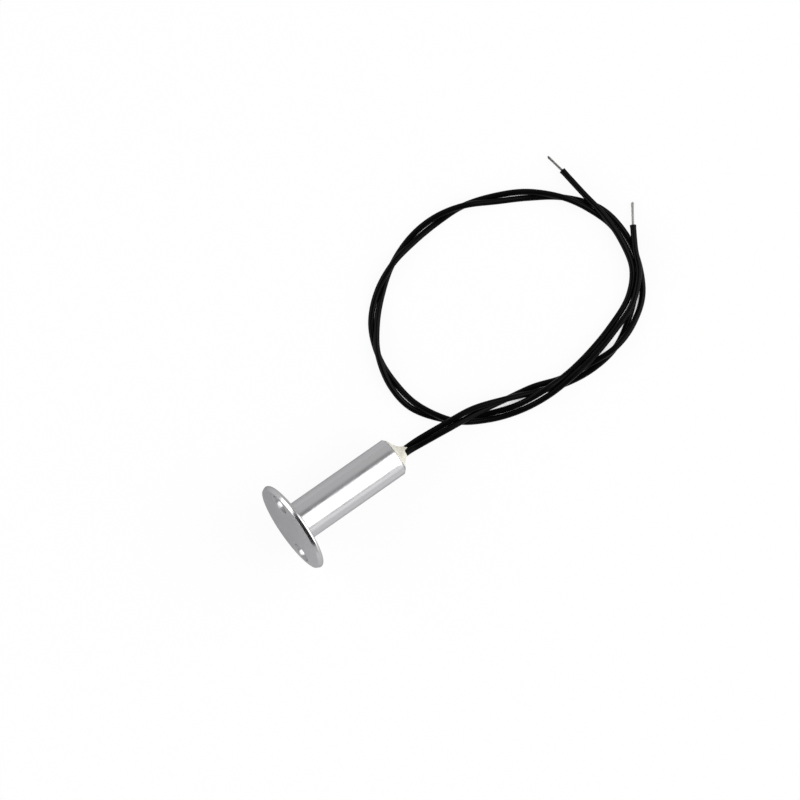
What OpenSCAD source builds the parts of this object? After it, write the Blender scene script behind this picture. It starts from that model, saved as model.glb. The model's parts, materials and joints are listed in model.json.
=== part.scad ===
// Flush-mount reed contact: a turned aluminium housing with a two-screw flange, a glass reed switch potted
// in its blind bore, and two twisted leads. It lies on a level floor on two rims, the flange's and the
// barrel's rear one, so its axis leans down towards the leads. The floor is z = 0.

/* [Housing] */
// Diameter of the flange
flange_d = 19; // [17:0.5:21]
// Thickness of the flange
flange_t = 1.2; // [1.1:0.1:1.6]
// Radius of both edges of the flange's rim
flange_round = 0.5; // [0.3:0.05:0.5]
// Diameter of the barrel
barrel_d = 8; // [7.6:0.1:8.6]
// Length of the housing, flange and barrel together
body_l = 25.5; // [25:0.5:30]
// Chamfer of the barrel's rear edge
rear_chamfer = 0.5; // [0.2:0.1:0.6]
// Diameter of the blind bore
bore_d = 6.4; // [6.2:0.1:6.6]
// Metal left between the drill point and the front face
front_web = 1.5; // [1:0.1:1.8]

/* [Screw holes] */
// Diameter of the circle through the two screw holes
screw_circle_d = 13.4; // [13:0.1:13.8]
// Diameter of each screw hole
screw_hole_d = 2.6; // [2.2:0.1:2.8]
// Diameter of each countersink at the front face
countersink_d = 4.2; // [3.8:0.1:4.4]
// Turn of the screw holes about the axis, from level
screw_turn = 41; // [0:1:90]

/* [Potting] */
// Height of the resin's meniscus above the rear rim
meniscus_h = 2.2; // [1.8:0.1:2.6]
// Radius of the meniscus where it meets the leads
meniscus_tip_r = 1.2; // [1:0.05:1.5]
// Ring of bare metal left between the resin and the chamfer
rim_land = 0.1; // [0:0.05:0.2]

/* [Reed switch] */
// Diameter of the glass
glass_d = 2.2; // [2:0.1:2.3]
// Length of the glass
glass_l = 13; // [12:0.1:13]
// Diameter of the cavity in the glass
cavity_d = 1.6; // [1.5:0.05:1.7]
// Length of the solid seal at each end of the glass
seal_l = 2.6; // [2:0.1:3]
// Diameter of the round reed leads
reed_d = 0.6; // [0.5:0.05:0.6]
// Width of the flattened blades
blade_w = 1.2; // [1:0.05:1.2]
// Thickness of the blades
blade_t = 0.22; // [0.15:0.01:0.22]
// Gap between the open contacts
contact_gap = 0.12; // [0.08:0.01:0.12]
// Overlap of the blades' tips
contact_overlap = 1; // [0.6:0.1:1.4]

/* [Leads] */
// Diameter over the insulation
lead_d = 1.2; // [1.1:0.05:1.2]
// Diameter of the bundle of strands
strand_d = 0.5; // [0.4:0.05:0.5]
// Gap between the two leads in the resin
lead_gap = 0.1; // [0.05:0.05:0.15]
// Tilt of the line through both leads, from level
pair_tilt = 48; // [30:1:60]
// Offset of the pair from the housing's axis
pair_y = -0.4; // [-0.6:0.1:0]
// Bare length at the free end of lead 1
bare_1 = 4.7; // [3:0.1:6]
// Bare length at the free end of lead 2
bare_2 = 4; // [3:0.1:6]

/* [Hidden] */
$fn = 48;

flange_r = flange_d / 2;
barrel_r = barrel_d / 2;
bore_r = bore_d / 2;
// A drill point of 118 degrees closes the bore.
drill_angle = 31;
bore_start = front_web + bore_r * tan(drill_angle);
// How far a cutting shape passes the face that it opens.
overcut = 1;

// The rest on the floor: the flange's rear edge round and the start of the rear chamfer touch z = 0.
rest_run = body_l - rear_chamfer - flange_t + flange_round;
rest_drop = flange_r - flange_round - barrel_r;
lean = atan2(rest_drop, rest_run) + asin(flange_round / norm([rest_run, rest_drop]));
front_z = (body_l - rear_chamfer) * sin(lean) + barrel_r * cos(lean);
tip_s = body_l + meniscus_h;
x_low = flange_round * (cos(lean) - 1) - (flange_r - flange_round) * sin(lean);
x_high = tip_s * cos(lean) + meniscus_tip_r * sin(lean);
front_x = -(x_low + x_high) / 2;

// Resin in front of the front reed lead's end, and how far each reed lead stands out of the glass.
front_cover = 0.6;
front_tail = 3.4;
rear_tail = 2.8;
// Lead 1's insulation reaches past the glass's front end and lead 2's stops short of the rear reed lead.
lead_1_lap = 0.6;
lead_2_setback = 0.4;
// How far the leads run straight past the meniscus.
exit_run = 0.5;

// Stations along the axis, measured from the front face.
front_reed_end = bore_start + front_cover;
glass_start = front_reed_end + front_tail;
glass_end = glass_start + glass_l;
rear_reed_end = glass_end + rear_tail;
glass_middle = (glass_start + glass_end) / 2;
front_root = glass_start + seal_l;
rear_root = glass_end - seal_l;
lead_1_start = glass_start + lead_1_lap;
lead_2_start = rear_reed_end + lead_2_setback;
straight_end = tip_s + exit_run;

// Places across the pair's own line: lead 1 at +pair_q, lead 2 at -pair_q, the reed beside its strands.
lead_r = lead_d / 2;
strand_r = strand_d / 2;
reed_r = reed_d / 2;
pair_q = (lead_d + lead_gap) / 2;
// Film of solder between a reed lead and the strands beside it.
solder_film = 0.05;
reed_q = -pair_q - strand_r - solder_film - reed_r;
joint_q = (reed_q - pair_q) / 2;

// Lap joints: length and wall of the solder, and its setback from the reed leads' ends.
joint_l = 1.5;
solder_wall = 0.12;
front_joint = front_reed_end + 0.3;
rear_joint = rear_reed_end - joint_l - 0.1;
// The strands stand out of the solder by a little at the reed side.
strand_tail = 0.1;
sleeve_wall = 0.25;
sleeve_r = 1.3;
sleeve_l = 2.6;
// How far the sleeve passes the front reed lead's end.
sleeve_lip = 0.2;
blade_neck = 0.8;
blade_tip_round = 0.25;
// 1 makes the meniscus a cone, more makes it hollow.
meniscus_hollow = 1.6;

// Routes of the leads from the meniscus to the end of the insulation. Each point is x from the meniscus's
// tip, y, and the height of the lead's centre in lead diameters: 0.5 lies on the floor, 1.6 crosses over
// one lead and 2.6 over two.
route_1 = [
    [3.7, 0, 2.3], [9.7, -0.5, 2.7], [15.7, -1.2, 2.6], [22.2, -3.4, 1.8], [27.7, -5.6, 1],
    [33.2, -7.5, 0.5], [39.2, -8.2, 0.5], [45.2, -7.3, 0.5], [50.7, -4.1, 0.5], [55.2, 0.2, 0.5],
    [57.7, 5.5, 0.5], [58.3, 12, 0.5], [56.6, 17.5, 1.1], [53.5, 22.7, 1.6], [48.5, 27.5, 1],
    [42.8, 30.5, 0.5], [36.7, 32.4, 0.5], [30.7, 32.6, 0.5], [24.7, 32.1, 1], [18.7, 30.9, 1.6],
    [13.1, 28.1, 1], [8.7, 23.7, 0.5], [6.4, 18, 0.5], [6, 12, 0.5], [7.2, 5.5, 1],
    [11.2, -1, 1.6], [16.7, -4.6, 1], [22.7, -6.7, 1], [28.7, -7.5, 1.9], [34.7, -7.2, 2.2],
    [40.7, -6.3, 2.1], [46.7, -4.6, 1.9], [52.8, -2.2, 1.7], [57.3, 2, 1.8], [59.4, 6.3, 1.8],
    [61.7, 10.3, 1]
];
route_2 = [
    [3.7, -1.1, 2.8], [9.7, -1.7, 2.9], [15.7, -2.3, 2], [22.2, -3.4, 0.6], [27.7, -4.4, 0.5],
    [33.2, -6.2, 0.5], [39.2, -7.1, 1.1], [45.2, -7.3, 1.6], [50.7, -5.5, 1.1], [55.7, -1.6, 0.5],
    [58.85, 5, 0.5], [59.55, 11.5, 0.5], [58.1, 17.3, 0.5], [53.5, 22.7, 0.5], [48, 26.4, 0.5],
    [42.65, 29.3, 1], [36.7, 32.4, 1.6], [30.7, 33.75, 1], [24.7, 33.25, 0.5], [18.7, 30.9, 0.5],
    [13.7, 27.2, 0.5], [9.6, 23, 1], [6.4, 18, 1.6], [4.9, 11.5, 1], [6.05, 5.2, 0.5],
    [11.2, -1, 0.5], [16.7, -3.4, 0.5], [22.7, -5.45, 1.1], [28.7, -6.2, 2.2], [34.7, -6.1, 1.6],
    [40.7, -5.1, 1.6], [46.7, -3.4, 1.3], [52.7, -0.8, 1.1], [56.7, 3.4, 1.6], [58.1, 9, 1.7],
    [58.2, 15, 1.7], [57.3, 21, 1.5], [56.5, 27, 1]
];
tube_sides = 8;
steps_per_span = 2;

// A place on the housing's axis s from the front face, y across it and v above it, in the floor's frame.
function axis_point(s, y, v) = [
    front_x + s * cos(lean) + v * sin(lean),
    y,
    front_z - s * sin(lean) + v * cos(lean)
];

// A place s along the axis and q along the pair's own line.
function pair_point(s, q) = axis_point(s, pair_y + q * cos(pair_tilt), -q * sin(pair_tilt));

// A route's point in the floor's frame.
function floor_point(p) = [axis_point(tip_s, 0, 0)[0] + p[0], p[1], p[2] * lead_d];

function unit(v) = v / norm(v);

// A cubic that passes through b and c with slopes from their neighbours a and d.
function blend(a, b, c, d, t) =
    b + t * (c - a) / 2
    + t * t * (a - 2.5 * b + 2 * c - d / 2)
    + t * t * t * (1.5 * (b - c) + (d - a) / 2);

// Keeps a lead's centre at or above its own radius.
function on_floor(p) = [p[0], p[1], max(p[2], lead_r)];

// The smooth centre line through the points, with steps_per_span steps to each span.
function smooth(p) = [
    for (i = [0 : len(p) - 2])
        let (before = p[max(i - 1, 0)], after = p[min(i + 2, len(p) - 1)])
        for (k = [0 : steps_per_span - 1])
            on_floor(blend(before, p[i], p[i + 1], after, k / steps_per_span)),
    p[len(p) - 1]
];

// The whole centre line of a lead: straight in the resin from start, then along its route.
function lead_line(start, q, route) = [
    pair_point(start, q),
    each smooth([pair_point(straight_end, q), for (p = route) floor_point(p)])
];

line_1 = lead_line(lead_1_start, pair_q, route_1);
line_2 = lead_line(lead_2_start, -pair_q, route_2);

function heading(p, i) = unit(p[min(i + 1, len(p) - 1)] - p[max(i - 1, 0)]);

// The corners of a tube's section at one place on its centre line.
function ring(centre, along, r) =
    let (side = unit(cross(along, [0, 0, 1])), up = cross(side, along))
    [
        for (k = [0 : tube_sides - 1])
            let (turn = 360 * k / tube_sides)
            centre + r * (cos(turn) * side + sin(turn) * up)
    ];

module tube(p, r) {
    last = len(p) - 1;
    first_heading = unit(p[1] - p[0]);
    corners = [
        for (i = [0 : last])
            each ring(p[i], i < 2 ? first_heading : heading(p, i), r)
    ];
    sides = [
        for (i = [0 : last - 1])
            for (k = [0 : tube_sides - 1])
                let (a = i * tube_sides + k, b = i * tube_sides + (k + 1) % tube_sides)
                each [[a, a + tube_sides, b + tube_sides], [a, b + tube_sides, b]]
    ];
    start_cap = [for (k = [0 : tube_sides - 1]) k];
    end_cap = [for (k = [tube_sides - 1 : -1 : 0]) last * tube_sides + k];
    polyhedron(corners, concat(sides, [start_cap, end_cap]));
}

// Stands a shape built up +Z from the front face on the housing's leaning axis.
module on_axis() {
    translate([front_x, 0, front_z])
        rotate([0, 90 + lean, 0])
            children();
}

// The same with +X along the pair's own line.
module on_pair() {
    on_axis()
        translate([0, pair_y, 0])
            rotate(90 - pair_tilt)
                children();
}

// A round bar of radius r at place q, from station a to station b.
module bar(q, r, a, b) {
    translate([q, 0, a])
        cylinder(r = r, h = b - a);
}

module flange_section() {
    square([flange_r - flange_round, flange_t]);
    translate([0, flange_round])
        square([flange_r, flange_t - 2 * flange_round]);
    for (s = [flange_round, flange_t - flange_round])
        translate([flange_r - flange_round, s])
            circle(flange_round);
}

module barrel_section() {
    polygon([
        [0, 0],
        [barrel_r, 0],
        [barrel_r, body_l - rear_chamfer],
        [barrel_r - rear_chamfer, body_l],
        [0, body_l]
    ]);
}

module screw_hole() {
    sink_depth = (countersink_d - screw_hole_d) / 2;
    translate([0, 0, -overcut])
        cylinder(d = screw_hole_d, h = flange_t + 2 * overcut);
    cylinder(d1 = countersink_d, d2 = screw_hole_d, h = sink_depth);
}

module housing() {
    color("silver")
        on_axis()
            difference() {
                rotate_extrude() {
                    flange_section();
                    barrel_section();
                }
                rotate_extrude()
                    polygon([
                        [0, front_web],
                        [bore_r, bore_start],
                        [bore_r, body_l + overcut],
                        [0, body_l + overcut]
                    ]);
                for (turn = [0, 180])
                    rotate(90 + screw_turn + turn)
                        translate([screw_circle_d / 2, 0, 0])
                            screw_hole();
            }
}

// The resin fills the bore and ends in a hollow curve that falls away from the leads to the rear rim.
module potting_section() {
    rim_r = barrel_r - rear_chamfer - rim_land;
    steps = 10;
    meniscus = [
        for (i = [0 : steps])
            let (u = i / steps, spread = pow(1 - u, meniscus_hollow))
            [meniscus_tip_r + (rim_r - meniscus_tip_r) * spread, body_l + u * meniscus_h]
    ];
    polygon([[0, front_web], [bore_r, bore_start], [bore_r, body_l], each meniscus, [0, tip_s]]);
}

module potting() {
    color("#e8e4d4")
        difference() {
            on_axis()
                rotate_extrude()
                    potting_section();
            on_pair() {
                glass_form();
                bar(reed_q, reed_r, front_reed_end, rear_reed_end);
                solder_form(front_joint);
                solder_form(rear_joint);
                front_sleeve_form();
                lead_1_strands();
                lead_2_strands();
                bar(pair_q, lead_r, lead_1_start, tip_s + overcut);
                bar(-pair_q, lead_r, lead_2_start, tip_s + overcut);
            }
        }
}

// The outside of the glass, a tube drawn in to a round end at each seal.
module glass_form() {
    glass_r = glass_d / 2;
    bar(reed_q, glass_r, glass_start + glass_r, glass_end - glass_r);
    for (s = [glass_start + glass_r, glass_end - glass_r])
        translate([reed_q, 0, s])
            sphere(glass_r);
}

module glass_capsule() {
    cavity_r = cavity_d / 2;
    mouth_r = 0.45;
    flare = 0.6;
    color("#cfe8d8", 0.5)
        on_pair()
            difference() {
                glass_form();
                bar(reed_q, reed_r, glass_start - overcut, glass_end + overcut);
                translate([reed_q, 0, 0])
                    rotate_extrude()
                        polygon([
                            [0, front_root],
                            [mouth_r, front_root],
                            [cavity_r, front_root + flare],
                            [cavity_r, rear_root - flare],
                            [mouth_r, rear_root],
                            [0, rear_root]
                        ]);
            }
}

module front_reed_lead() {
    color("lightgray")
        on_pair()
            bar(reed_q, reed_r, front_reed_end, front_root);
}

module rear_reed_lead() {
    color("lightgray")
        on_pair()
            bar(reed_q, reed_r, rear_root, rear_reed_end);
}

// A flat blade from its root at 0 up to its rounded tip, with its contact face at y = contact_gap / 2.
module blade() {
    reach = glass_middle - front_root + contact_overlap / 2;
    half = blade_w / 2;
    translate([0, contact_gap / 2 + blade_t, 0])
        rotate([90, 0, 0])
            linear_extrude(blade_t) {
                polygon([
                    [-reed_r, 0],
                    [reed_r, 0],
                    [half, blade_neck],
                    [half, reach - blade_tip_round],
                    [half - blade_tip_round, reach],
                    [blade_tip_round - half, reach],
                    [-half, reach - blade_tip_round],
                    [-half, blade_neck]
                ]);
            }
}

module front_reed_blade() {
    color("gainsboro")
        on_pair()
            translate([reed_q, 0, front_root])
                blade();
}

module rear_reed_blade() {
    color("gainsboro")
        on_pair()
            translate([reed_q, 0, rear_root])
                rotate([180, 0, 0])
                    blade();
}

// Solder round a reed lead and the strands beside it, from station s.
module solder_form(s) {
    bar(reed_q, reed_r + solder_wall, s, s + joint_l);
    bar(-pair_q, strand_r + solder_wall, s, s + joint_l);
    translate([reed_q, -strand_r, s])
        cube([-pair_q - reed_q, strand_d, joint_l]);
}

module front_solder() {
    color("darkgray")
        on_pair()
            difference() {
                solder_form(front_joint);
                bar(reed_q, reed_r, front_reed_end, glass_start);
                lead_1_strands();
            }
}

module rear_solder() {
    color("darkgray")
        on_pair()
            difference() {
                solder_form(rear_joint);
                bar(reed_q, reed_r, glass_end, rear_reed_end);
                lead_2_strands();
            }
}

module front_sleeve_form() {
    translate([joint_q, 0, front_reed_end - sleeve_lip])
        difference() {
            cylinder(r = sleeve_r, h = sleeve_l);
            translate([0, 0, -overcut])
                cylinder(r = sleeve_r - sleeve_wall, h = sleeve_l + 2 * overcut);
        }
}

module front_sleeve() {
    color("dimgray")
        on_pair()
            front_sleeve_form();
}

// Lead 1's strands leave the insulation, slant across in front of the glass and lie beside the reed lead.
module lead_1_strands() {
    straight_l = 0.4;
    slant_l = 1.4;
    bend_out = lead_1_start - straight_l;
    bend_in = bend_out - slant_l;
    run = [-2 * pair_q, 0, bend_in - bend_out];
    bar(pair_q, strand_r, bend_out, lead_1_start);
    translate([pair_q, 0, bend_out]) {
        sphere(strand_r);
        rotate([0, atan2(run[0], run[2]), 0])
            cylinder(r = strand_r, h = norm(run));
    }
    translate([-pair_q, 0, bend_in])
        sphere(strand_r);
    bar(-pair_q, strand_r, front_joint - strand_tail, bend_in);
}

module lead_2_strands() {
    bar(-pair_q, strand_r, rear_joint - strand_tail, lead_2_start);
}

module lead_1_inner_end() {
    color("silver")
        on_pair()
            lead_1_strands();
}

module lead_2_inner_end() {
    color("silver")
        on_pair()
            lead_2_strands();
}

module lead_1() {
    color("#1c1c1e")
        tube(line_1, lead_r);
}

module lead_2() {
    color("#1c1c1e")
        tube(line_2, lead_r);
}

// Bare strands that go straight on from the end of a lead's line.
module bare_end(p, length) {
    along = heading(p, len(p) - 1);
    translate(p[len(p) - 1])
        rotate([0, acos(along[2]), atan2(along[1], along[0])])
            cylinder(r = strand_r, h = length);
}

module lead_1_bare_end() {
    color("silver")
        bare_end(line_1, bare_1);
}

module lead_2_bare_end() {
    color("silver")
        bare_end(line_2, bare_2);
}

housing();
potting();
glass_capsule();
front_reed_lead();
front_reed_blade();
rear_reed_lead();
rear_reed_blade();
front_solder();
rear_solder();
front_sleeve();
lead_1();
lead_1_inner_end();
lead_1_bare_end();
lead_2();
lead_2_inner_end();
lead_2_bare_end();
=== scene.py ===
import json
import math
import bmesh
import bpy
import numpy as np
from mathutils import Matrix


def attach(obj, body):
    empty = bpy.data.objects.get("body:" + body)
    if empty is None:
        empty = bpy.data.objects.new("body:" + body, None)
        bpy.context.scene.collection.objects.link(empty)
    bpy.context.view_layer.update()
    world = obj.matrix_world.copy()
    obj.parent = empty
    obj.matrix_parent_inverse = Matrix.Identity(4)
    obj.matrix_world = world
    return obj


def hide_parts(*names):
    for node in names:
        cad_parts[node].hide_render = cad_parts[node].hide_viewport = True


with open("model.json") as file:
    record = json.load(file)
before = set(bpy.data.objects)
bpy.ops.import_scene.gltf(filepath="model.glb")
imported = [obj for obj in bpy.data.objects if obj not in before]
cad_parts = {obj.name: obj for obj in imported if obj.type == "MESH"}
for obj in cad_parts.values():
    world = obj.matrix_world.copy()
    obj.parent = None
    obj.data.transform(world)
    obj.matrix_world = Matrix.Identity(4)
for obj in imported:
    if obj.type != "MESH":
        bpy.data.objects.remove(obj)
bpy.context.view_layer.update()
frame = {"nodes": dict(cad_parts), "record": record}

# Camera
# The view is straight down, with the flange at the lower left and the leads running to the upper right.
# A long lens far above keeps the height of the flange and of the crossing leads from spreading in the
# picture.
view_width = 0.15625
view_middle = (0.01925, 0.00836)
view_turn = math.radians(-34.9)
camera_height = 4.0
camera_lens = bpy.data.cameras.new("camera")
camera_lens.sensor_width = 36
camera_lens.lens = camera_lens.sensor_width * camera_height / view_width
camera = bpy.data.objects.new("camera", camera_lens)
camera.location = (*view_middle, camera_height)
camera.rotation_euler = (0, 0, view_turn)
bpy.context.scene.collection.objects.link(camera)
bpy.context.scene.camera = camera

# Leads
# Two thin hook-up wires, stranded copper in black PVC, extruded and cut to one length. They leave the resin
# side by side, make a little over one loose turn on the floor, cross each other and themselves, and end
# stripped.
MM = 0.001
lead_d = 1.2
lead_sides = 24
lead_steps = 8
straight_steps = 12
pair_tilt = math.radians(48)
pair_y = -0.4
pair_half = 0.65
straight_end = 28.2
straight_lead_in = 3.5
lead_1_start = 8.02275
lead_2_start = 23.62275
tip_depth = 27.7
barrel_middle = 13.1
barrel_mount = next(mount for mount in frame["record"]["mounts"] if mount["name"] == "barrel")
along = np.array(barrel_mount["axis"])
sideways = np.array([0.0, 1.0, 0.0])
upward = np.array([-along[2], 0.0, along[0]])
flange_face = np.array(barrel_mount["pos_m"]) - barrel_middle * MM * along

# Each row is a point of the lead: forward of the resin's tip and sideways, in mm, and height in lead
# diameters.
route_1 = np.array([
    [3.7, 0, 2.3], [9.7, -0.5, 2.7], [15.7, -1.2, 2.6], [22.2, -3.4, 1.8], [27.7, -5.6, 1],
    [33.2, -7.5, 0.5], [39.2, -8.2, 0.5], [45.2, -7.3, 0.5], [50.7, -4.1, 0.5], [55.2, 0.2, 0.5],
    [57.7, 5.5, 0.5], [58.3, 12, 0.5], [56.6, 17.5, 1.1], [53.5, 22.7, 1.6], [48.5, 27.5, 1],
    [42.8, 30.5, 0.5], [36.7, 32.4, 0.5], [30.7, 32.6, 0.5], [24.7, 32.1, 1], [18.7, 30.9, 1.6],
    [13.1, 28.1, 1], [8.7, 23.7, 0.5], [6.4, 18, 0.5], [6, 12, 0.5], [7.2, 5.5, 1],
    [11.2, -1, 1.6], [16.7, -4.6, 1], [22.7, -6.7, 1], [28.7, -7.5, 1.9], [34.7, -7.2, 2.2],
    [40.7, -6.3, 2.1], [46.7, -4.6, 1.9], [52.8, -2.2, 1.7], [57.3, 2, 1.8], [59.4, 6.3, 1.8],
    [61.7, 10.3, 1],
])
route_2 = np.array([
    [3.7, -1.1, 2.8], [9.7, -1.7, 2.9], [15.7, -2.3, 2], [22.2, -3.4, 0.6], [27.7, -4.4, 0.5],
    [33.2, -6.2, 0.5], [39.2, -7.1, 1.1], [45.2, -7.3, 1.6], [50.7, -5.5, 1.1], [55.7, -1.6, 0.5],
    [58.85, 5, 0.5], [59.55, 11.5, 0.5], [58.1, 17.3, 0.5], [53.5, 22.7, 0.5], [48, 26.4, 0.5],
    [42.65, 29.3, 1], [36.7, 32.4, 1.6], [30.7, 33.75, 1], [24.7, 33.25, 0.5], [18.7, 30.9, 0.5],
    [13.7, 27.2, 0.5], [9.6, 23, 1], [6.4, 18, 1.6], [4.9, 11.5, 1], [6.05, 5.2, 0.5],
    [11.2, -1, 0.5], [16.7, -3.4, 0.5], [22.7, -5.45, 1.1], [28.7, -6.2, 2.2], [34.7, -6.1, 1.6],
    [40.7, -5.1, 1.6], [46.7, -3.4, 1.3], [52.7, -0.8, 1.1], [56.7, 3.4, 1.6], [58.1, 9, 1.7],
    [58.2, 15, 1.7], [57.3, 21, 1.5], [56.5, 27, 1],
])


def in_housing(depth, aside, rise):
    """Places in metres from three lengths in mm: along the housing's axis from the flange face, sideways,
    and up."""
    lengths = np.stack(np.broadcast_arrays(depth, aside, rise), -1)
    return flange_face + MM * lengths @ np.array([along, sideways, upward])


def beside_pair(depth, off_middle):
    """A place at a depth along the axis, off the middle of the two leads by a length in mm on the tilted
    line through both."""
    aside = pair_y + off_middle * math.cos(pair_tilt)
    return in_housing(np.asarray(depth, float), aside, -off_middle * math.sin(pair_tilt))


def lead_line(start, off_middle, route):
    """The middle line of a lead: straight out of the resin, then one smooth cubic in each span between the
    route's points, whose slope at a point is half the step between that point's two neighbours. It never
    goes lower than a lead that lies on the floor."""
    tip_x = in_housing(tip_depth, 0, 0)[0]
    on_floor = route * MM * [1, 1, lead_d] + [tip_x, 0, 0]
    points = np.vstack([beside_pair(straight_end, off_middle), on_floor])
    before = beside_pair(straight_end - straight_lead_in, off_middle)
    after = points[-1] * 2 - points[-2]
    padded = np.vstack([before, points, after])[:, None]
    earlier, first, second, later = padded[:-3], padded[1:-2], padded[2:-1], padded[3:]
    slope = (second - earlier) / 2
    bend = earlier - 2.5 * first + 2 * second - later / 2
    bend_change = 1.5 * (first - second) + (later - earlier) / 2
    share = np.linspace(0, 1, lead_steps, endpoint=False)[None, :, None]
    spans = first + share * slope + share ** 2 * bend + share ** 3 * bend_change
    straight = beside_pair(np.linspace(start, straight_end, straight_steps, endpoint=False), off_middle)
    line = np.vstack([straight, spans.reshape(-1, 3), points[-1:]])
    return np.maximum(line, [-np.inf, -np.inf, lead_d / 2 * MM])


def headings(line):
    """Three unit axes at each point of a line: its own direction, a level one square to it, and one square
    to both."""
    ahead = np.gradient(line, axis=0)
    ahead /= np.linalg.norm(ahead, axis=1, keepdims=True)
    level = np.cross(ahead, [0, 0, 1])
    level /= np.linalg.norm(level, axis=1, keepdims=True)
    return ahead, level, np.cross(level, ahead)


def quads(rows, columns, joined, first=0):
    """The faces of a grid of points: four neighbours make one, and a joined grid's last column meets its
    first."""
    index = first + np.arange(rows * columns).reshape(rows, columns)
    index = np.hstack([index, index[:, :1]]) if joined else index
    corners = [index[:-1, :-1], index[1:, :-1], index[1:, 1:], index[:-1, 1:]]
    return np.stack(corners, -1).reshape(-1, 4)


def make_piece(name, grids, finish, caps=(), sharp=40, marks=None):
    """One smooth mesh from grids of points, each with whether its last column meets its first. A cap is one
    face over a grid's first (0) or last (-1) row. Points that meet where grids touch become one, faces turn
    outward, and edges that turn by more than an angle in degrees stay sharp. Marks, one for each point, are
    kept as an attribute."""
    same_place = 1e-7
    faces, points, start, rows_of = [], [], 0, []
    for grid, joined in grids:
        rows, columns = grid.shape[:2]
        faces.append(quads(rows, columns, joined, start))
        points.append(grid.reshape(-1, 3))
        rows_of.append(start + np.arange(rows * columns).reshape(rows, columns))
        start += rows * columns
    points = np.vstack(points)
    places = np.round(points / same_place).astype(np.int64)
    _, kept, same = np.unique(places, axis=0, return_index=True, return_inverse=True)
    same = same.reshape(-1)
    polygons = same[np.vstack(faces)].tolist()
    polygons += [same[rows_of[grid][row]].tolist() for grid, row in caps]
    mesh = bpy.data.meshes.new(name)
    mesh.from_pydata(points[kept].tolist(), [], polygons)
    if marks is not None:
        kept_marks = marks.reshape(-1, 3)[kept].astype(np.float32).ravel()
        mesh.attributes.new("straight", "FLOAT_VECTOR", "POINT").data.foreach_set("vector", kept_marks)
    shell = bmesh.new()
    shell.from_mesh(mesh)
    bmesh.ops.recalc_face_normals(shell, faces=shell.faces)
    shell.to_mesh(mesh)
    shell.free()
    mesh.shade_smooth()
    mesh.set_sharp_from_angle(angle=math.radians(sharp))
    mesh.materials.append(finish)
    piece = bpy.data.objects.new(name, mesh)
    bpy.context.scene.collection.objects.link(piece)
    return piece


def lead_surface(line):
    """A circle carried along a lead's line. At the free end the stripping has spread it a little, and the
    last rows turn in over the cut: a broken edge, the flat cut, and a short bore round the strands. The
    marks give each point's place on the lead as if it lay straight."""
    cut_on = np.array([0.02, 0.05, 0.05, -0.4])
    cut_share = np.array([1.08, 1.07, 1.01, 0.46, 0.44])
    ahead, level, raised = headings(line)
    row = np.concatenate([np.arange(len(line)), np.full(len(cut_on), len(line) - 1)])
    on = np.concatenate([np.zeros(len(line)), cut_on])
    share = np.concatenate([np.ones(len(line) - 1), cut_share])[:, None, None]
    turn = np.linspace(0, 2 * math.pi, lead_sides, endpoint=False)[None, :, None]
    centre = line[row] + on[:, None] * MM * ahead[row]
    ring = np.cos(turn) * level[row][:, None] + np.sin(turn) * raised[row][:, None]
    steps = np.linalg.norm(np.diff(line, axis=0), axis=1)
    run = np.concatenate([[0], np.cumsum(steps)])[row] / MM + on
    straight = np.concatenate(np.broadcast_arrays(np.cos(turn), np.sin(turn), run[:, None, None]), -1)
    return centre[:, None] + lead_d / 2 * MM * share * ring, straight * [lead_d / 2, lead_d / 2, 1]


def linear(colour):
    """A hex sRGB colour as linear red, green, blue and full cover, by the standard sRGB curve."""
    part = np.array([int(colour[i:i + 2], 16) for i in (1, 3, 5)]) / 255
    return (*np.where(part <= 0.04045, part / 12.92, ((part + 0.055) / 1.055) ** 2.4).tolist(), 1.0)


def add(tree, kind, sockets, **settings):
    """Adds one shader node with its settings. Each named socket gets a value, or a link from another node's
    output."""
    node = tree.nodes.new(kind)
    for name, value in settings.items():
        setattr(node, name, value)
    for name, value in sockets.items():
        if isinstance(value, bpy.types.NodeSocket):
            tree.links.new(value, node.inputs[name])
        else:
            node.inputs[name].default_value = value
    return node


def new_finish(name):
    """An empty material, and the tree that its nodes go into."""
    finish = bpy.data.materials.new(name)
    finish.use_nodes = True
    finish.node_tree.nodes.clear()
    return finish, finish.node_tree


# Soft PVC from an extruder: near black and satin. The die leaves faint lines along the wire, drawn about
# 0.3 mm apart and so coarser than real ones, and handling leaves duller stretches some 4 mm long.
die_spacing = 0.3
die_stretch = 0.03
handling_length = 4
black_pvc, tree = new_finish("black_pvc_extruded")
straight_lead = add(tree, "ShaderNodeAttribute", {}, attribute_name="straight")
die_place = add(tree, "ShaderNodeVectorMath", {
    0: straight_lead.outputs["Vector"], 1: (1, 1, die_stretch)}, operation="MULTIPLY")
die_lines = add(tree, "ShaderNodeTexNoise", {
    "Vector": die_place.outputs[0], "Scale": 1 / die_spacing, "Detail": 2})
handling = add(tree, "ShaderNodeTexNoise", {
    "Vector": straight_lead.outputs["Vector"], "Scale": 1 / handling_length, "Detail": 3})
pvc_colour = add(tree, "ShaderNodeMix", {
    "Factor": handling.outputs["Fac"], "A": linear("#030303"), "B": linear("#070708")}, data_type="RGBA")
pvc_dulling = add(tree, "ShaderNodeMapRange", {
    "Value": handling.outputs["Fac"], "From Min": 0.3, "From Max": 0.7, "To Min": 0.24, "To Max": 0.36})
pvc_relief = add(tree, "ShaderNodeBump", {
    "Height": die_lines.outputs["Fac"], "Strength": 0.5, "Distance": 0.01 * MM})
pvc_shader = add(tree, "ShaderNodeBsdfPrincipled", {
    "Base Color": pvc_colour.outputs["Result"], "Roughness": pvc_dulling.outputs["Result"], "IOR": 1.53,
    "Specular IOR Level": 0.06, "Normal": pvc_relief.outputs["Normal"]})
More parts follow.
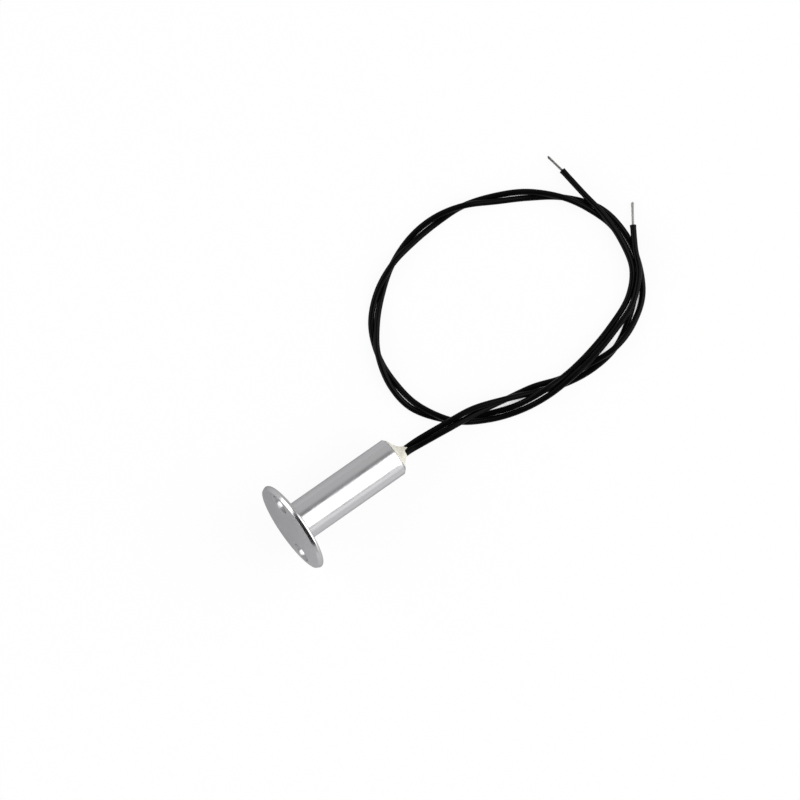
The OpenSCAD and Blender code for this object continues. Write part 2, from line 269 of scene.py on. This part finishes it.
add(tree, "ShaderNodeOutputMaterial", {"Surface": pvc_shader.outputs[0]})

lead_lines = {
    "lead_1": lead_line(lead_1_start, pair_half, route_1),
    "lead_2": lead_line(lead_2_start, -pair_half, route_2),
}
leads = {}
for name, line in lead_lines.items():
    surface, straight = lead_surface(line)
    leads[name] = make_piece(
        f"{name}_insulation", [(surface, True)], black_pvc, caps=[(0, 0), (0, -1)], marks=straight)
    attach(leads[name], "contact")
    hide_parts(name)

# Bare ends
# Seven thin copper strands, tinned, laid up in a twist and left bare where the insulation was stripped. The
# cut leaves them slightly open and not quite of one length. The leads' inner ends in the resin are tinned
# copper too.
strand_count = 7
strand_d = 0.165
strand_steps = 40
strand_sides = 8
bundle_r = 0.165
lay_pitch = 6.0
strip_back = 0.35
cut_opening = 0.25
bare_lengths = {"lead_1": 4.7, "lead_2": 4.0}
bare_leans = {"lead_1": math.radians(-3.4), "lead_2": math.radians(3.7)}
bare_lift = math.radians(1.2)


def strand_surfaces(start, axes, length):
    """Seven thin tubes. One runs straight, and six follow a helix round it: distance from the middle is
    constant and then opens a little at the cut, and the turn grows evenly with length."""
    ahead, level, raised = axes
    strand = np.arange(strand_count)[:, None]
    share = np.linspace(0, 1, strand_steps)[None, :]
    cut_short = np.array([0, 0.1, 0.28, 0.05, 0.2, 0.34, 0.15])[:, None]
    run = -strip_back + share * (length + strip_back - cut_short)
    lay = strand * math.pi / 3 + 2 * math.pi * run / lay_pitch
    out = np.where(strand == 0, 0, bundle_r * (1 + cut_opening * share ** 6))
    turn = np.linspace(0, 2 * math.pi, strand_sides, endpoint=False)
    across = (out * np.cos(lay))[..., None] + strand_d / 2 * np.cos(turn)
    over = (out * np.sin(lay))[..., None] + strand_d / 2 * np.sin(turn)
    return start + MM * (run[..., None, None] * ahead + across[..., None] * level + over[..., None] * raised)


# Tinned copper: a grey, slightly dull metal skin, with runs of tin some 0.6 mm long that take the light
# unevenly.
tin_run_length = 0.6
tinned_copper, tree = new_finish("copper_strands_tinned")
wire_place = add(tree, "ShaderNodeTexCoord", {})
tin_runs = add(tree, "ShaderNodeTexNoise", {
    "Vector": wire_place.outputs["Object"], "Scale": 1 / (tin_run_length * MM), "Detail": 3})
tin_colour = add(tree, "ShaderNodeMix", {
    "Factor": tin_runs.outputs["Fac"], "A": linear("#7a7978"), "B": linear("#a09f9c")}, data_type="RGBA")
tin_dulling = add(tree, "ShaderNodeMapRange", {
    "Value": tin_runs.outputs["Fac"], "To Min": 0.25, "To Max": 0.45})
tin_relief = add(tree, "ShaderNodeBump", {
    "Height": tin_runs.outputs["Fac"], "Strength": 0.4, "Distance": 0.01 * MM})
tin_shader = add(tree, "ShaderNodeBsdfPrincipled", {
    "Base Color": tin_colour.outputs["Result"], "Metallic": 1.0, "Roughness": tin_dulling.outputs["Result"],
    "Normal": tin_relief.outputs["Normal"]})
add(tree, "ShaderNodeOutputMaterial", {"Surface": tin_shader.outputs[0]})

for name, line in lead_lines.items():
    ahead, level, raised = (axis[-1] for axis in headings(line))
    lean = bare_leans[name]
    leant = ahead * math.cos(lean) - level * math.sin(lean) + raised * math.sin(bare_lift)
    axes = [axis[0] for axis in headings(line[-1] + np.array([[0], [MM]]) * leant)]
    strands = [(strand, True) for strand in strand_surfaces(line[-1], axes, bare_lengths[name])]
    strand_caps = [(strand, row) for strand in range(strand_count) for row in (0, -1)]
    bare_end = make_piece(f"{name}_strands", strands, tinned_copper, caps=strand_caps)
    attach(bare_end, "contact")
    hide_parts(f"{name}_bare_end")
    frame["nodes"][f"{name}_inner_end"].data.materials.clear()
    frame["nodes"][f"{name}_inner_end"].data.materials.append(tinned_copper)
    tuple(in_housing(tip_depth, pair_y, 0).tolist())

# Reed switch
# A drawn glass tube is fused at both ends round a nickel-iron wire, whose inner end is rolled flat to a
# springy blade. It is soldered between the two leads, and a rubber sleeve over the front joint keeps it off
# the metal.

# Soda-lime glass, drawn and flame sealed: clear with a green tint, smooth, faintly wavy over about 2 mm.
glass_wave_length = 2
clear_glass, tree = new_finish("green_tinted_glass_drawn")
glass_place = add(tree, "ShaderNodeTexCoord", {})
glass_waves = add(tree, "ShaderNodeTexNoise", {
    "Vector": glass_place.outputs["Object"], "Scale": 1 / (glass_wave_length * MM)})
glass_tint = add(tree, "ShaderNodeMix", {
    "Factor": glass_waves.outputs["Fac"], "A": linear("#d3e8da"), "B": linear("#e2f0e6")}, data_type="RGBA")
glass_relief = add(tree, "ShaderNodeBump", {
    "Height": glass_waves.outputs["Fac"], "Strength": 0.3, "Distance": 0.02 * MM})
glass_shader = add(tree, "ShaderNodeBsdfPrincipled", {
    "Base Color": glass_tint.outputs["Result"], "Roughness": 0.03, "IOR": 1.52, "Transmission Weight": 1.0,
    "Normal": glass_relief.outputs["Normal"]})
add(tree, "ShaderNodeOutputMaterial", {"Surface": glass_shader.outputs[0]})

# Nickel-iron, drawn to wire and rolled: a warm grey metal, with fine draw lines drawn about 0.15 mm apart.
draw_spacing = 0.15
draw_stretch = 20
axis_dip = math.atan2(-along[2], along[0])
nickel_iron, tree = new_finish("nickel_iron_drawn")
reed_place = add(tree, "ShaderNodeTexCoord", {})
reed_turned = add(tree, "ShaderNodeMapping", {
    "Vector": reed_place.outputs["Object"], "Rotation": (0, axis_dip, 0),
    "Scale": (draw_stretch * MM, MM, MM)}, vector_type="TEXTURE")
draw_lines = add(tree, "ShaderNodeTexNoise", {
    "Vector": reed_turned.outputs[0], "Scale": 1 / draw_spacing, "Detail": 2})
reed_colour = add(tree, "ShaderNodeMix", {
    "Factor": draw_lines.outputs["Fac"], "A": linear("#9c9891"), "B": linear("#bcb8b0")}, data_type="RGBA")
reed_dulling = add(tree, "ShaderNodeMapRange", {
    "Value": draw_lines.outputs["Fac"], "To Min": 0.22, "To Max": 0.38})
reed_shader = add(tree, "ShaderNodeBsdfPrincipled", {
    "Base Color": reed_colour.outputs["Result"], "Metallic": 1.0,
    "Roughness": reed_dulling.outputs["Result"]})
add(tree, "ShaderNodeOutputMaterial", {"Surface": reed_shader.outputs[0]})

# Tin solder, set from the melt: a bright grey that is frosted in grains of about 0.3 mm.
solder_grain = 0.3
tin_solder, tree = new_finish("tin_solder_reflowed")
solder_place = add(tree, "ShaderNodeTexCoord", {})
solder_grains = add(tree, "ShaderNodeTexVoronoi", {
    "Vector": solder_place.outputs["Object"], "Scale": 1 / (solder_grain * MM)})
solder_dulling = add(tree, "ShaderNodeMapRange", {
    "Value": solder_grains.outputs["Distance"], "To Min": 0.2, "To Max": 0.5})
solder_relief = add(tree, "ShaderNodeBump", {
    "Height": solder_grains.outputs["Distance"], "Strength": 0.3, "Distance": 0.01 * MM})
solder_shader = add(tree, "ShaderNodeBsdfPrincipled", {
    "Base Color": linear("#b3b5b8"), "Metallic": 1.0, "Roughness": solder_dulling.outputs["Result"],
    "Normal": solder_relief.outputs["Normal"]})
add(tree, "ShaderNodeOutputMaterial", {"Surface": solder_shader.outputs[0]})

# Silicone rubber, extruded: matt charcoal, with a bloom of paler dust in patches of about 0.8 mm.
bloom_width = 0.8
sleeve_rubber, tree = new_finish("silicone_rubber_extruded")
sleeve_place = add(tree, "ShaderNodeTexCoord", {})
sleeve_bloom = add(tree, "ShaderNodeTexNoise", {
    "Vector": sleeve_place.outputs["Object"], "Scale": 1 / (bloom_width * MM), "Detail": 4})
sleeve_colour = add(tree, "ShaderNodeMix", {
    "Factor": sleeve_bloom.outputs["Fac"], "A": linear("#1c1c1d"), "B": linear("#2b2b2c")}, data_type="RGBA")
sleeve_shader = add(tree, "ShaderNodeBsdfPrincipled", {
    "Base Color": sleeve_colour.outputs["Result"], "Roughness": 0.7, "IOR": 1.43})
add(tree, "ShaderNodeOutputMaterial", {"Surface": sleeve_shader.outputs[0]})

switch_finishes = {
    "glass_capsule": clear_glass, "front_reed_lead": nickel_iron, "front_reed_blade": nickel_iron,
    "rear_reed_lead": nickel_iron, "rear_reed_blade": nickel_iron, "front_solder": tin_solder,
    "rear_solder": tin_solder, "front_sleeve": sleeve_rubber,
}
for node, finish in switch_finishes.items():
    frame["nodes"][node].data.materials.clear()
    frame["nodes"][node].data.materials.append(finish)

# Housing
# One piece of aluminium, turned from bar: a round flange and a barrel with a blind bore. The flange's front
# edge is bevelled and its rear edge rounded with the tool, and two screw holes are drilled and countersunk
# through it.
flange_r = 9.5
flange_t = 1.2
bevel_l = 0.6
bevel_r = 0.3
bevel_turn = math.degrees(math.atan2(bevel_l, -bevel_r))
face_break = 0.03
rim_break = 0.15
face_r = flange_r - bevel_r - face_break * math.tan(math.radians(180 - bevel_turn) / 2)
bevel_end = bevel_l + rim_break * math.tan(math.radians(bevel_turn - 90) / 2)
rear_round = 0.5
rear_r = flange_r - rear_round
barrel_r = 4.0
barrel_rows = 24
root_fillet = 0.2
root_r = barrel_r + root_fillet
body_l = 25.5
rear_chamfer = 0.5
chamfer_start = body_l - rear_chamfer
edge_r = barrel_r - rear_chamfer
edge_break = 0.06
bore_r = 3.2
bore_start = 3.42275
bore_end = 1.5
centre_r = 0.1
screw_r = 6.7
screw_turn = math.radians(41)
hole_r = 1.3
sink_r = 2.1
sink_break = 0.035
sink_depth = sink_r - hole_r
column_turn = math.radians(1)
block_columns = 30
block_rows = 12
flat_rows = 9


def turned(profile, columns=np.arange(360)):
    """A profile of depths along the axis and radii, turned about the axis, at whole degrees from the first
    hole."""
    angle = screw_turn + column_turn * columns
    depth, radius = np.asarray(profile, float).T[..., None]
    return in_housing(depth, radius * np.cos(angle), radius * np.sin(angle))


def arc(depth, radius, size, first, last, steps=12):
    """A rounded edge of a profile: points on a circle of one size round a depth and a radius, between two
    angles from the axis in degrees."""
    angle = np.radians(np.linspace(first, last, steps + 1))
    return np.stack([depth + size * np.cos(angle), radius + size * np.sin(angle)], -1)


def on_flange(depth, outward, across, hole):
    """Places on the flange at a depth, from lengths toward one hole (0 or 1) and square to that."""
    turn = screw_turn + math.pi * hole
    aside = outward * math.cos(turn) - across * math.sin(turn)
    return in_housing(depth, aside, outward * math.sin(turn) + across * math.cos(turn))


def round_hole(depth, outer, radius, hole):
    """The flat round one hole: straight lines from the outline of a sector of the flange, between the
    barrel's root and the flat's outer radius, inward to the hole's circle. Each meets the circle in the
    direction of its outline point."""
    sweep = np.arange(-block_columns, block_columns + 1) * column_turn
    reach = np.linspace(outer, root_r, block_rows + 1)
    last_side = np.full(block_rows - 1, sweep[-1])
    first_side = np.full(block_rows - 1, sweep[0])
    angle = np.concatenate([sweep, last_side, sweep[::-1], first_side])
    outer_edge = np.full(len(sweep), outer)
    root_edge = np.full(len(sweep), root_r)
    out = np.concatenate([outer_edge, reach[1:-1], root_edge, reach[-2:0:-1]])
    outward, across = out * np.cos(angle), out * np.sin(angle)
    toward = np.arctan2(across, outward - screw_r)
    share = np.linspace(0, 1, flat_rows)[:, None]
    outward = outward + share * (screw_r + radius * np.cos(toward) - outward)
    across = across + share * (radius * np.sin(toward) - across)
    return on_flange(depth, outward, across, hole), toward


rim = np.vstack([
    arc(face_break, face_r, face_break, 180, bevel_turn, steps=6),
    arc(bevel_end, flange_r - rim_break, rim_break, bevel_turn, 90, steps=6),
    arc(flange_t - rear_round, rear_r, rear_round, 90, 0),
])
barrel_run = np.linspace(flange_t + root_fillet, chamfer_start - edge_break, barrel_rows)[1:]
barrel = np.vstack([
    arc(flange_t + root_fillet, root_r, root_fillet, 180, 270, steps=8),
    np.stack([barrel_run, np.full(len(barrel_run), barrel_r)], -1),
    [chamfer_start - edge_break / 4, barrel_r - edge_break / 8],
    [chamfer_start + edge_break / 2, barrel_r - edge_break],
    [body_l - edge_break, edge_r + edge_break * 0.8],
    [body_l, edge_r - edge_break / 2],
    [body_l, bore_r],
    [bore_start, bore_r],
    [bore_end, centre_r],
])
face_disc = np.linspace([0, centre_r], [0, root_r], flat_rows)
front_ring = np.linspace([0, face_r], [0, root_r], block_rows + 1)
rear_ring = np.linspace([flange_t, rear_r], [flange_t, root_r], block_rows + 1)
sink_profile = np.array([
    [0, sink_r + sink_break], [sink_break, sink_r - sink_break], [sink_depth, hole_r], [flange_t, hole_r]])
sink_level, sink_reach = sink_profile.T[..., None]
housing_grids = [(turned(face_disc), True), (turned(rim), True), (turned(barrel), True)]
for hole in (0, 1):
    between = np.arange(block_columns, 180 - block_columns + 1) + 180 * hole
    front_flat, toward = round_hole(0.0, face_r, sink_r + sink_break, hole)
    rear_flat, rear_toward = round_hole(flange_t, rear_r, hole_r, hole)
    wall_toward = np.stack([toward, toward, toward, rear_toward])
    wall_outward = screw_r + sink_reach * np.cos(wall_toward)
    sunk = on_flange(sink_level, wall_outward, sink_reach * np.sin(wall_toward), hole)
    housing_grids += [(turned(front_ring, between), False), (turned(rear_ring, between), False),
                      (front_flat, True), (rear_flat, True), (sunk, True)]

# Aluminium, turned and polished: bright grey. The tool leaves fine rings round the axis, drawn about 0.12 mm
# apart so that they show, and wiping leaves duller patches some 3 mm wide. The screw holes are left as
# drilled, and their walls are painted a darker grey as painted shade in the recesses.
ring_spacing = 0.12
wipe_width = 3
hole_y = screw_r * math.cos(screw_turn)
hole_v = screw_r * math.sin(screw_turn)
turned_aluminium, tree = new_finish("aluminium_turned_polished")
metal_place = add(tree, "ShaderNodeTexCoord", {})
lathe_place = add(tree, "ShaderNodeMapping", {
    "Vector": metal_place.outputs["Object"], "Location": tuple(flange_face.tolist()),
    "Rotation": (0, axis_dip, 0), "Scale": (MM, MM, MM)}, vector_type="TEXTURE")
lathe_depth = add(tree, "ShaderNodeSeparateXYZ", {"Vector": lathe_place.outputs[0]})
off_axis = add(tree, "ShaderNodeVectorMath", {
    0: lathe_place.outputs[0], 1: (0, 1, 1)}, operation="MULTIPLY")
lathe_r = add(tree, "ShaderNodeVectorMath", {0: off_axis.outputs[0]}, operation="LENGTH")
tool_path = add(tree, "ShaderNodeMath", {
    0: lathe_depth.outputs["X"], 1: lathe_r.outputs["Value"]}, operation="ADD")
tool_rings = add(tree, "ShaderNodeTexNoise", {
    "W": tool_path.outputs[0], "Scale": 1 / ring_spacing, "Detail": 2}, noise_dimensions="1D")
wiping = add(tree, "ShaderNodeTexNoise", {
    "Vector": lathe_place.outputs[0], "Scale": 1 / wipe_width, "Detail": 4})
ring_colour = add(tree, "ShaderNodeMix", {
    "Factor": tool_rings.outputs["Fac"], "A": linear("#cdccce"), "B": linear("#d5d4d6")}, data_type="RGBA")
# Painted shade in the screw holes: in the countersink and on the hole wall the colour turns a darker grey.
from_hole_1 = add(tree, "ShaderNodeVectorMath", {
    0: off_axis.outputs[0], 1: (0, hole_y, hole_v)}, operation="DISTANCE")
from_hole_2 = add(tree, "ShaderNodeVectorMath", {
    0: off_axis.outputs[0], 1: (0, -hole_y, -hole_v)}, operation="DISTANCE")
from_hole = add(tree, "ShaderNodeMath", {
    0: from_hole_1.outputs["Value"], 1: from_hole_2.outputs["Value"]}, operation="MINIMUM")
sink_wall = add(tree, "ShaderNodeMath", {0: sink_r, 1: lathe_depth.outputs["X"]}, operation="SUBTRACT")
hole_wall = add(tree, "ShaderNodeMath", {0: sink_wall.outputs[0], 1: hole_r}, operation="MAXIMUM")
off_wall = add(tree, "ShaderNodeMath", {
    0: from_hole.outputs[0], 1: hole_wall.outputs[0]}, operation="SUBTRACT")
painted_hole_shade = add(tree, "ShaderNodeMapRange", {
    "Value": off_wall.outputs[0], "From Min": 0, "From Max": sink_break, "To Min": 1, "To Max": 0})
metal_colour = add(tree, "ShaderNodeMix", {
    "Factor": painted_hole_shade.outputs["Result"], "A": ring_colour.outputs["Result"], "B": linear("#a0a0a1")},
    data_type="RGBA")
ring_dulling = add(tree, "ShaderNodeMapRange", {
    "Value": tool_rings.outputs["Fac"], "From Min": 0.3, "From Max": 0.7, "To Min": 0.14, "To Max": 0.22})
metal_dulling = add(tree, "ShaderNodeMapRange", {
    "Value": wiping.outputs["Fac"], "From Min": 0.3, "From Max": 0.7,
    "To Min": ring_dulling.outputs["Result"], "To Max": 0.27})
ring_relief = add(tree, "ShaderNodeBump", {
    "Height": tool_rings.outputs["Fac"], "Strength": 0.15, "Distance": 0.01 * MM})
metal_shader = add(tree, "ShaderNodeBsdfPrincipled", {
    "Base Color": metal_colour.outputs["Result"], "Metallic": 1.0,
    "Roughness": metal_dulling.outputs["Result"], "Specular Tint": linear("#bbbbbd"),
    "Normal": ring_relief.outputs["Normal"]})
add(tree, "ShaderNodeOutputMaterial", {"Surface": metal_shader.outputs[0]})

housing = make_piece("housing_turned", housing_grids, turned_aluminium, caps=[(0, 0), (2, -1)], sharp=28)
flat_faces = housing.modifiers.new("flat_faces", "WEIGHTED_NORMAL")
flat_faces.keep_sharp = True
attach(housing, "contact")
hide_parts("housing")

# Resin plug
# Epoxy poured into the bore round the reed switch and left to cure. It wets the rear edge of the barrel and
# climbs the two leads, so it sets as a hollow-sided cone that leans with them.
resin_columns = 180
cone_rows = 25
film_rows = 4
wet_least = 3.42
wet_most = 3.95
wet_middle = math.radians(74)
wet_half = math.radians(60)
wide_wave = 0.03
narrow_wave = 0.015
film = 0.05
meniscus_h = 2.2
meniscus_hollow = 1.6
tip_long = 1.33
tip_short = 0.78
tip_tilt = 0.4
web_h = 0.7
lip_on = np.array([[0.05], [0.03], [0.0], [-0.1]])
lip_climb = np.array([[0.4], [0.8], [1.0], [0.0]])
lip_share = np.array([[0.92], [0.76], [0.56], [0.3]])


def resin_surface():
    """A ring that shrinks up the leads. A thin film first follows the barrel's rear bevel, further out on
    the upper side than below. Then the radius goes from the bevel's edge to an oval round both leads by a
    power of the height left, the middle moves over to the leads, and the top tilts up along the lower lead.
    At the tip the ring closes in, and climbs on in the two grooves between the leads. Two waves of the angle
    keep the wetted edge uneven. Below, the ring follows the bore to the drill's point."""
    turn = np.linspace(0, 2 * math.pi, resin_columns, endpoint=False)[None, :]
    share = np.linspace(0, 1, cone_rows)[:, None]
    from_pair = turn + pair_tilt
    oval = tip_long * tip_short / np.hypot(tip_short * np.cos(from_pair), tip_long * np.sin(from_pair))
    from_top = np.abs((turn - wet_middle + math.pi) % (2 * math.pi) - math.pi)
    wet = wet_least + (wet_most - wet_least) * np.exp(-(from_top / wet_half) ** 4)
    wet = wet + wide_wave * np.sin(3 * turn + 1) + narrow_wave * np.sin(7 * turn + 2)
    inner = np.minimum(wet, edge_r - film)
    spread = np.linspace(0, 1, film_rows, endpoint=False)[:, None]
    film_r = wet + spread * (inner - wet)
    film_depth = body_l + film * np.sqrt(spread) - np.maximum(film_r - edge_r, 0)
    bevel_film = in_housing(film_depth, film_r * np.cos(turn), film_r * np.sin(turn))
    left = (1 - share) ** meniscus_hollow
    cone_r = oval + (inner - oval) * left
    cone_depth = body_l + film + share * (meniscus_h - film + tip_tilt * np.cos(from_pair))
    cone = in_housing(cone_depth, pair_y * (1 - left) + cone_r * np.cos(turn), cone_r * np.sin(turn))
    inside = np.array([[body_l, bore_r], [bore_start, bore_r], [bore_end, centre_r]])
    plug = in_housing(inside[:, :1], inside[:, 1:] * np.cos(turn), inside[:, 1:] * np.sin(turn))
    groove = web_h * np.sin(from_pair) ** 8
    lip_depth = cone_depth[-1] + lip_on + lip_climb * groove
    lip_r = oval * lip_share
    lip = in_housing(lip_depth, pair_y + lip_r * np.cos(turn), lip_r * np.sin(turn))
    return np.concatenate([plug[::-1], bevel_film, cone, lip])


# Filled epoxy, cast and cured in the open: cream and half glossy. Filler clouds the colour over about 1 mm,
# and the free surface keeps shallow waves some 1.5 mm apart.
cloud_width = 1
resin_wave_length = 1.5
cast_epoxy, tree = new_finish("epoxy_cast_cream")
resin_place = add(tree, "ShaderNodeTexCoord", {})
resin_clouds = add(tree, "ShaderNodeTexNoise", {
    "Vector": resin_place.outputs["Object"], "Scale": 1 / (cloud_width * MM), "Detail": 3})
resin_waves = add(tree, "ShaderNodeTexNoise", {
    "Vector": resin_place.outputs["Object"], "Scale": 1 / (resin_wave_length * MM), "Detail": 1})
resin_colour = add(tree, "ShaderNodeMix", {
    "Factor": resin_clouds.outputs["Fac"], "A": linear("#cfcbbf"), "B": linear("#dcd8cb")}, data_type="RGBA")
resin_dulling = add(tree, "ShaderNodeMapRange", {
    "Value": resin_clouds.outputs["Fac"], "To Min": 0.28, "To Max": 0.46})
resin_relief = add(tree, "ShaderNodeBump", {
    "Height": resin_waves.outputs["Fac"], "Strength": 0.5, "Distance": 0.12 * MM})
resin_shader = add(tree, "ShaderNodeBsdfPrincipled", {
    "Base Color": resin_colour.outputs["Result"], "Roughness": resin_dulling.outputs["Result"], "IOR": 1.55,
    "Normal": resin_relief.outputs["Normal"]})
add(tree, "ShaderNodeOutputMaterial", {"Surface": resin_shader.outputs[0]})

resin = make_piece("resin_plug", [(resin_surface(), True)], cast_epoxy, caps=[(0, 0), (0, -1)], sharp=35)
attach(resin, "contact")
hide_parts("potting")

# Floor and light
# A white paper sheet lies under the part. One large soft panel stands over the leads' side and smaller ones
# to the left, low on the right and before the flange. The room dims overhead, and a black card there darkens
# the bevel.


def flat_sheet(name, x_ends, y_ends, height, finish):
    """A level rectangle between two ends in x and two in y, at one height."""
    x, y = np.meshgrid(x_ends, y_ends, indexing="ij")
    corners = np.stack([x, y, np.full((2, 2), height)], -1).reshape(-1, 3)
    mesh = bpy.data.meshes.new(name)
    mesh.from_pydata(corners.tolist(), [], [[0, 2, 3, 1]])
    mesh.materials.append(finish)
    sheet = bpy.data.objects.new(name, mesh)
    bpy.context.scene.collection.objects.link(sheet)
    return sheet


# Paper, white and matt. It shows as white with a faint shadow, but stays dark in the thin gaps under the
# part. In what the metal mirrors of it, painted shade makes it greyer away from the part, most of all on the
# side away from the large panel.
floor_ends = [-4.0, 4.0]
gap_reach = 3
seen_white = 0.92
mirrored_white = 0.39
sheet_white, tree = new_finish("white_paper_matt")
light_path = add(tree, "ShaderNodeLightPath", {})
openness = add(tree, "ShaderNodeAmbientOcclusion", {"Distance": gap_reach * MM}, samples=8)
open_share = add(tree, "ShaderNodeMapRange", {
    "Value": openness.outputs["AO"], "From Min": 0.08, "From Max": 0.22, "To Max": seen_white})
seen = add(tree, "ShaderNodeMath", {
    0: light_path.outputs["Is Camera Ray"], 1: open_share.outputs["Result"]}, operation="MULTIPLY")
mirrored = add(tree, "ShaderNodeMath", {
    0: light_path.outputs["Is Glossy Ray"], 1: mirrored_white}, operation="MULTIPLY")
seen_mirrored = add(tree, "ShaderNodeMath", {
    0: seen.outputs[0], 1: mirrored.outputs[0]}, operation="MAXIMUM")
seen_share = add(tree, "ShaderNodeMath", {
    0: seen_mirrored.outputs[0], 1: light_path.outputs["Is Transmission Ray"]}, operation="MAXIMUM")
sheet_place = add(tree, "ShaderNodeTexCoord", {})
sheet_y = add(tree, "ShaderNodeSeparateXYZ", {"Vector": sheet_place.outputs["Object"]})
# Painted shade, seen only in reflections: the paper greys toward +y beyond 4 mm, and less toward -y beyond
# 12 mm.
shaded_side = add(tree, "ShaderNodeMapRange", {
    "Value": sheet_y.outputs["Y"], "From Min": 4 * MM, "From Max": 16 * MM,
    "To Max": light_path.outputs["Is Glossy Ray"]})
lit_side_painted_shade = add(tree, "ShaderNodeMapRange", {
    "Value": sheet_y.outputs["Y"], "From Min": -12 * MM, "From Max": -26 * MM,
    "To Max": light_path.outputs["Is Glossy Ray"]})
lit_side_shade_colour = add(tree, "ShaderNodeMix", {
    "Factor": lit_side_painted_shade.outputs["Result"], "A": linear("#e7e7e7"), "B": linear("#bfbfbf")}, data_type="RGBA")
paper_and_painted_shade = add(tree, "ShaderNodeMix", {
    "Factor": shaded_side.outputs["Result"], "A": lit_side_shade_colour.outputs["Result"], "B": linear("#a4a4a4")},
    data_type="RGBA")
paper = add(tree, "ShaderNodeBsdfDiffuse", {"Color": paper_and_painted_shade.outputs["Result"]})
paper_glow = add(tree, "ShaderNodeEmission", {"Color": linear("#ffffff"), "Strength": 1.0})
paper_seen = add(tree, "ShaderNodeMixShader", {
    0: seen_share.outputs[0], 1: paper.outputs[0], 2: paper_glow.outputs[0]})
add(tree, "ShaderNodeOutputMaterial", {"Surface": paper_seen.outputs[0]})
floor = flat_sheet("floor", floor_ends, floor_ends, 0.0, sheet_white)

panel_distance = 0.8


def light_panel(name, toward, long_way, size, radiance):
    """A flat lamp that stands off the part in a direction and faces it, with one side along a given way. Its
    power follows from its size and how bright its face is."""
    back = np.array(toward) / np.linalg.norm(toward)
    side = np.array(long_way) - back * np.dot(long_way, back)
    side /= np.linalg.norm(side)
    lamp = bpy.data.lights.new(name, "AREA")
    lamp.shape = "RECTANGLE"
    lamp.size, lamp.size_y = size
    lamp.energy = radiance * 4 * size[0] * size[1]
    panel = bpy.data.objects.new(name, lamp)
    axes = np.stack([side, np.cross(back, side), back, back * panel_distance], 1)
    panel.matrix_world = Matrix(np.vstack([axes, [0, 0, 0, 1]]).tolist())
    panel.visible_camera = False
    bpy.context.scene.collection.objects.link(panel)


light_panel("key_panel", toward=(0.66, -0.36, 0.66), long_way=(0.479, 0.878, 0.0), size=(1.04, 1.2),
            radiance=1.6)
light_panel("left_panel", toward=(-0.55, 0.64, 0.535), long_way=(0.76, 0.65, 0.0), size=(0.6, 0.5),
            radiance=1.6)
light_panel("low_panel", toward=(0.25, -0.95, 0.15), long_way=(0.97, 0.25, 0.0), size=(0.9, 0.3),
            radiance=0.36)
light_panel("front_panel", toward=(-0.9, 0.0, 0.38), long_way=(0.0, 1.0, 0.0), size=(0.7, 0.32),
            radiance=2.6)

# Card, dyed black and matt. The camera and diffuse light don't meet it and it casts no shadow, so the metal
# mirrors it and nothing is shaded by it.
card_black, tree = new_finish("black_card")
card_shader = add(tree, "ShaderNodeBsdfDiffuse", {"Color": linear("#050505")})
add(tree, "ShaderNodeOutputMaterial", {"Surface": card_shader.outputs[0]})
card_height = 0.6
card = flat_sheet("card", [-0.84, 0.17], [-1.5, 0.24], card_height, card_black)
card.visible_camera = False
card.visible_diffuse = False
card.visible_shadow = False

# The room is an even white that dims from a strength of 0.6 at the sides to 0.27 overhead.
room = bpy.data.worlds.new("room")
room.use_nodes = True
tree = room.node_tree
tree.nodes.clear()
sky_place = add(tree, "ShaderNodeTexCoord", {})
sky_height = add(tree, "ShaderNodeSeparateXYZ", {"Vector": sky_place.outputs["Generated"]})
sky_level = add(tree, "ShaderNodeMapRange", {
    "Value": sky_height.outputs["Z"], "From Min": 0.6, "From Max": 0.76, "To Min": 0.6, "To Max": 0.27})
room_light = add(tree, "ShaderNodeBackground", {
    "Color": linear("#ffffff"), "Strength": sky_level.outputs["Result"]})
add(tree, "ShaderNodeOutputWorld", {"Surface": room_light.outputs[0]})
bpy.context.scene.world = room
bpy.context.scene.view_settings.view_transform = "Standard"
